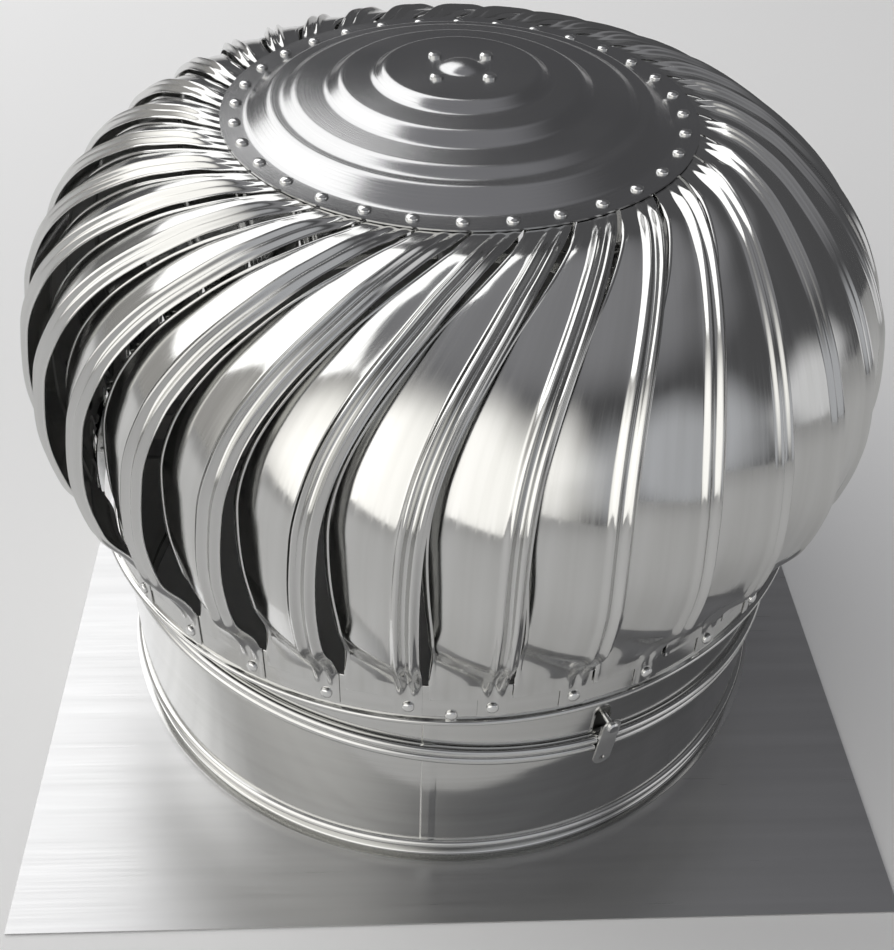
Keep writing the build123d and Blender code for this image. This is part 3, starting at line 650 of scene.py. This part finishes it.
def smooth_station(distance):
    """Stations joined by cubic curves that don't overshoot."""
    i = 0
    while i < last - 1 and distance > travel[i + 1]:
        i += 1
    span = travel[i + 1] - travel[i]
    t = (distance - travel[i]) / span

    def slope(k, c):
        if k == 0 or k == last:
            return 0.0
        left = (stations[k][c] - stations[k - 1][c]) / (travel[k] - travel[k - 1])
        right = (stations[k + 1][c] - stations[k][c]) / (travel[k + 1] - travel[k])
        if left * right <= 0:
            return 0.0
        return 2 * left * right / (left + right)

    values = []
    for c in range(len(stations[0])):
        p0, p1 = stations[i][c], stations[i + 1][c]
        m0, m1 = slope(i, c) * span, slope(i + 1, c) * span
        values.append(
            (2 * t**3 - 3 * t**2 + 1) * p0 + (t**3 - 2 * t**2 + t) * m0
            + (3 * t**2 - 2 * t**3) * p1 + (t**3 - t**2) * m1
        )
    return values


def panel_line(depth, ridge, edge, sag):
    """The panel's middle line in a cut, from its hemmed inner edge to the rib."""
    width = edge - 2 * RIDGE_SPACING
    hem_shares = [HEM_WIDTH * i / HEM_STEPS / width for i in range(HEM_STEPS + 1)]
    rest = 1 - hem_shares[-1]
    plain_shares = [hem_shares[-1] + rest * i / PANEL_STEPS for i in range(1, PANEL_STEPS + 1)]
    line = []
    for share in hem_shares + plain_shares:
        x = -edge + width * share
        y = -depth - sag + (depth + sag - ridge) * share
        crown = PANEL_CROWN * math.sin(math.pi * share) * min(1.0, depth / CROWN_FULL_DEPTH)
        fold = 1.0 - min(1.0, share * width / HEM_WIDTH)
        hem = HEM_RISE * math.sin(math.pi * fold) ** HEM_ROUNDNESS if 0.0 < fold < 1.0 else 0.0
        line.append((x, y + crown + hem * min(1.0, depth / HEM_FULL_DEPTH)))
    return line


def vane_row(distance, panel_share):
    """One cut across the vane, inner edge to free edge: its two faces and the places across it."""
    radius, height, tilt, depth, ridge, tuck = smooth_station(distance)
    if height < RING_TOP:
        ridge = min(ridge, radius - foot_radius)
        depth = min(depth, radius - foot_radius - HEM_CLEARANCE)
    out_r, out_z = math.cos(tilt), math.sin(tilt)
    span = math.radians(360.0 / VANE_COUNT - VANE_GAP_DEG) + tuck
    edge = (radius - out_r * depth) * math.sin(span) - 2 * RIDGE_SPACING
    sag = out_r * edge**2 / (2 * radius)
    azimuth = math.radians(FOOT_AZIMUTH + vane_lead(radius, height))
    outward = Vector((out_r * math.cos(azimuth), out_r * math.sin(azimuth), out_z))
    sideways = Vector((-math.sin(azimuth), math.cos(azimuth), 0.0))
    origin = Vector((radius * math.cos(azimuth), radius * math.sin(azimuth), height))
    flat = panel_line(depth, ridge, edge, sag)
    rib = -2 * RIDGE_SPACING
    if panel_share < 1.0:
        level = ridge * (1 - panel_share)
        flat = [(rib + (x - rib) * panel_share, y * panel_share - level) for x, y in flat]
    for i in range(1, RIDGE_STEPS + 1):
        x = rib + 4 * RIDGE_SPACING * i / RIDGE_STEPS
        wave = math.cos(math.pi * x / (2 * RIDGE_SPACING)) ** 2
        flat.append((x, -ridge * wave**RIDGE_ROUNDNESS))
    half = VANE_SHEET / 2
    upper = [origin + sideways * x + outward * (y + half) for x, y in flat]
    lower = [origin + sideways * x + outward * (y - half) for x, y in flat]
    return upper, lower, [x for x, y in flat]


def vane_mesh():
    """The whole vane as one closed skin: rib foot, panel above its hem, tongue under the cap."""
    hem = HEM_HEIGHT - FOOT_END_HEIGHT
    rows = [(distance, FOOT_PANEL_SHARE) for distance in (*FOOT_ROWS, hem - FOOT_ROW_GAP)]
    rows += [(hem + (travel[-1] - hem) * i / VANE_STEPS, 1.0) for i in range(VANE_STEPS + 1)]
    uppers, lowers, uvs = [], [], []
    for distance, share in rows:
        upper, lower, across = vane_row(distance, share)
        uppers.append(upper)
        lowers.append(lower)
        uvs += [(x * MM, distance * MM) for x in across]
    size = len(uppers[0])
    count = len(rows)
    points = [p for row in uppers for p in row] + [p for row in lowers for p in row]
    uvs = uvs + uvs
    offset = size * count
    faces = [tuple(reversed(f)) for f in grid_faces(count, size)]
    faces += grid_faces(count, size, start=offset)
    for i in range(count - 1):
        a, b = i * size, (i + 1) * size
        faces.append((a, a + offset, b + offset, b))
        a, b = a + size - 1, b + size - 1
        faces.append((a, b, b + offset, a + offset))
    for j in range(size - 1):
        faces.append((j, j + 1, j + 1 + offset, j + offset))
        k = (count - 1) * size + j
        faces.append((k, k + offset, k + 1 + offset, k + 1))
    return points, faces, uvs


vane_points, vane_faces, vane_uvs = vane_mesh()
first_vane = make_piece("blade_01", vane_points, vane_faces, polished, vane_uvs, VANE_SHARP)
blades = [first_vane]
for index in range(1, VANE_COUNT):
    blade = bpy.data.objects.new(f"blade_{index + 1:02d}", first_vane.data)
    scene.collection.objects.link(blade)
    blade.rotation_euler = (0, 0, math.radians(index * 360.0 / VANE_COUNT))
    blades.append(blade)
bpy.context.view_layer.update()
for index, blade in enumerate(blades):
    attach(blade, "turbine")
    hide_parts(f"vane_{index + 1:02d}")


# Domed fasteners
def dome_group(name, places, depth):
    """Domed heads with shanks, each at a place given as an origin and an outward direction."""
    head, rise, shank = RIVET_HEAD_RADIUS, RIVET_HEAD_RISE, RIVET_RADIUS
    profile = [(0.0, rise)]
    for angle in DOME_ANGLES:
        t = math.radians(angle)
        profile.append((head * math.sin(t), rise * (DOME_BASE + (1 - DOME_BASE) * math.cos(t))))
    profile += [(head, rise * DOME_RIM), (head, 0.0), (shank, 0.0), (shank, -depth), (0.0, -depth)]
    points, faces = [], []
    for origin, outward in places:
        turn_frame = Vector(outward).to_track_quat("Z", "Y").to_matrix()
        start = len(points)
        for i in range(DOME_SIDES):
            t = 2 * math.pi * i / DOME_SIDES
            for radius, height in profile:
                local = Vector((radius * math.cos(t), radius * math.sin(t), height))
                points.append(Vector(origin) + turn_frame @ local)
        faces += grid_faces(DOME_SIDES, len(profile), wrap_rows=True, start=start)
    return make_piece(name, points, faces, fastener, None, DOME_SHARP)


def on_cylinder(radius, azimuth, height):
    """An origin and outward direction on a vertical cylinder."""
    t = math.radians(azimuth)
    out = Vector((math.cos(t), math.sin(t), 0.0))
    return out * radius + Vector((0, 0, height)), out


def spaced(count, start):
    """Evenly spaced azimuths in degrees."""
    return [start + 360.0 * i / count for i in range(count)]


up = Vector((0, 0, 1))
rim_azimuths = spaced(VANE_COUNT, FOOT_AZIMUTH + VANE_LEAD)
rim_places = [(on_cylinder(RIM_RIVET_CIRCLE, a, CAP_RIM_HEIGHT)[0], up) for a in rim_azimuths]
rim_heads = dome_group("rim_heads", rim_places, RIM_RIVET_DEPTH)
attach(rim_heads, "turbine")
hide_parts("rim_rivets")

foot_face = RING_RADIUS + SEAT_GAP + VANE_SHEET + RIDGE_END_HEIGHT
foot_azimuths = spaced(VANE_COUNT, FOOT_AZIMUTH)
foot_places = [on_cylinder(foot_face, a, FOOT_RIVET_HEIGHT) for a in foot_azimuths]
foot_heads = dome_group("foot_heads", foot_places, FOOT_RIVET_DEPTH)
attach(foot_heads, "turbine")
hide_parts("foot_rivets")

spoke_azimuths = spaced(SPOKE_COUNT, SPOKE_AZIMUTH)
spoke_places = [on_cylinder(RING_RADIUS, a, SPOKE_RIVET_HEIGHT) for a in spoke_azimuths]
spoke_heads = dome_group("spoke_heads", spoke_places, SPOKE_RIVET_DEPTH)
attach(spoke_heads, "turbine")
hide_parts("spoke_rivets")

# Materials of the CAD pieces that stay as they are
looks = {"base_plate": plate_steel, "lock_tab_1": strap, "lock_tab_2": strap, "lock_tab_3": strap}
for name in ("neck_spider", "rotor_spider", "spindle", "spacer_sleeve", "bearing_housing"):
    looks[name] = bracket
for name in ("lower_bearing_inner", "lower_bearing_outer", "upper_bearing_inner", "upper_bearing_outer"):
    looks[name] = bearing
for name, node in nodes.items():
    material = looks.get(name, fastener)
    node.data.materials.clear()
    node.data.materials.append(material)

# Floor, in metres
FLOOR_SIDE = 400.0
FLOOR_HEIGHT = -0.0005
FLOOR_COLOUR = (0.93, 0.93, 0.93, 1.0)
FLOOR_ROUGHNESS = 0.9
floor_material, _, floor_shader = new_material("studio_floor")
floor_shader.inputs["Base Color"].default_value = FLOOR_COLOUR
floor_shader.inputs["Roughness"].default_value = FLOOR_ROUGHNESS
bpy.ops.mesh.primitive_plane_add(size=FLOOR_SIDE, location=(0, 0, FLOOR_HEIGHT))
floor = bpy.context.object
floor.name = "studio_floor"
floor.data.materials.append(floor_material)

# World: a dim studio with soft bright panels, most of them on the left
world = bpy.data.worlds.new("studio")
scene.world = world
world.use_nodes = True
sky = world.node_tree
background = sky.nodes["Background"]
ray = add_node(sky, "ShaderNodeTexCoord").outputs["Generated"]


def glow(direction, start, stop, colour):
    """A soft-edged bright patch of the world, from its outer angle's cosine to its inner one's."""
    towards = Vector(direction).normalized()
    facing = add_node(sky, "ShaderNodeVectorMath", {0: ray, 1: towards}, operation="DOT_PRODUCT")
    share = add_node(
        sky,
        "ShaderNodeMapRange",
        {"Value": facing.outputs["Value"], "From Min": start, "From Max": stop},
        interpolation_type="SMOOTHSTEP",
    )
    tinted = add_node(
        sky, "ShaderNodeVectorMath", {0: colour, "Scale": share.outputs["Result"]}, operation="SCALE"
    )
    return tinted.outputs["Vector"]


# Direction, cosines of the outer and inner angles, colour; the first fills the whole sky
GLOWS = (
    ((0.0, 0.0, 1.0), -1.2, -1.1, (0.10, 0.10, 0.105)),
    ((0.0, 0.1, 1.0), 0.75, 0.96, (0.18, 0.18, 0.19)),
    ((-0.70, -0.68, 0.34), 0.66, 0.93, (1.45, 1.43, 1.38)),
    ((-1.0, 0.10, 0.25), 0.60, 0.95, (0.35, 0.34, 0.32)),
    ((0.36, -0.86, 0.36), 0.84, 0.97, (0.45, 0.46, 0.48)),
    ((0.93, -0.34, 0.20), 0.93, 0.99, (0.75, 0.75, 0.76)),
)
total = None
for direction, start, stop, colour in GLOWS:
    patch = glow(direction, start, stop, colour)
    if total is not None:
        patch = add_node(sky, "ShaderNodeVectorMath", {0: total, 1: patch}, operation="ADD").outputs[0]
    total = patch
sky.links.new(total, background.inputs["Color"])
background.inputs["Strength"].default_value = 1.0


def softbox(name, place, target, size, power):
    """A rectangular area lamp aimed at a point."""
    lamp = bpy.data.lights.new(name, "AREA")
    lamp.shape = "RECTANGLE"
    lamp.size, lamp.size_y = size
    lamp.energy = power
    holder = bpy.data.objects.new(name, lamp)
    scene.collection.objects.link(holder)
    holder.location = place
    holder.rotation_euler = (Vector(target) - Vector(place)).to_track_quat("-Z", "Y").to_euler()


softbox("key_panel", place=(-1.75, 1.7, 2.5), target=(-0.1, 0.2, 0.0), size=(3.8, 2.8), power=56.0)

# Camera at the photograph's place, in metres, with its sensor and lens in millimetres
CAMERA_PLACE = (-0.0461, -0.7077, 0.7631)
CAMERA_FORWARD = (0.0486, 0.7473, -0.6628)
CAMERA_ROLL = math.radians(2.064)
CAMERA_SENSOR = 36.0
CAMERA_LENS = 45.99
camera_data = bpy.data.cameras.new("photo_camera")
camera_data.sensor_fit = "AUTO"
camera_data.sensor_width = CAMERA_SENSOR
camera_data.lens = CAMERA_LENS
camera = bpy.data.objects.new("photo_camera", camera_data)
scene.collection.objects.link(camera)
aim = Vector(CAMERA_FORWARD).normalized().to_track_quat("-Z", "Y").to_matrix().to_4x4()
roll = Matrix.Rotation(CAMERA_ROLL, 4, "Z")
camera.matrix_world = Matrix.Translation(CAMERA_PLACE) @ aim @ roll
scene.camera = camera
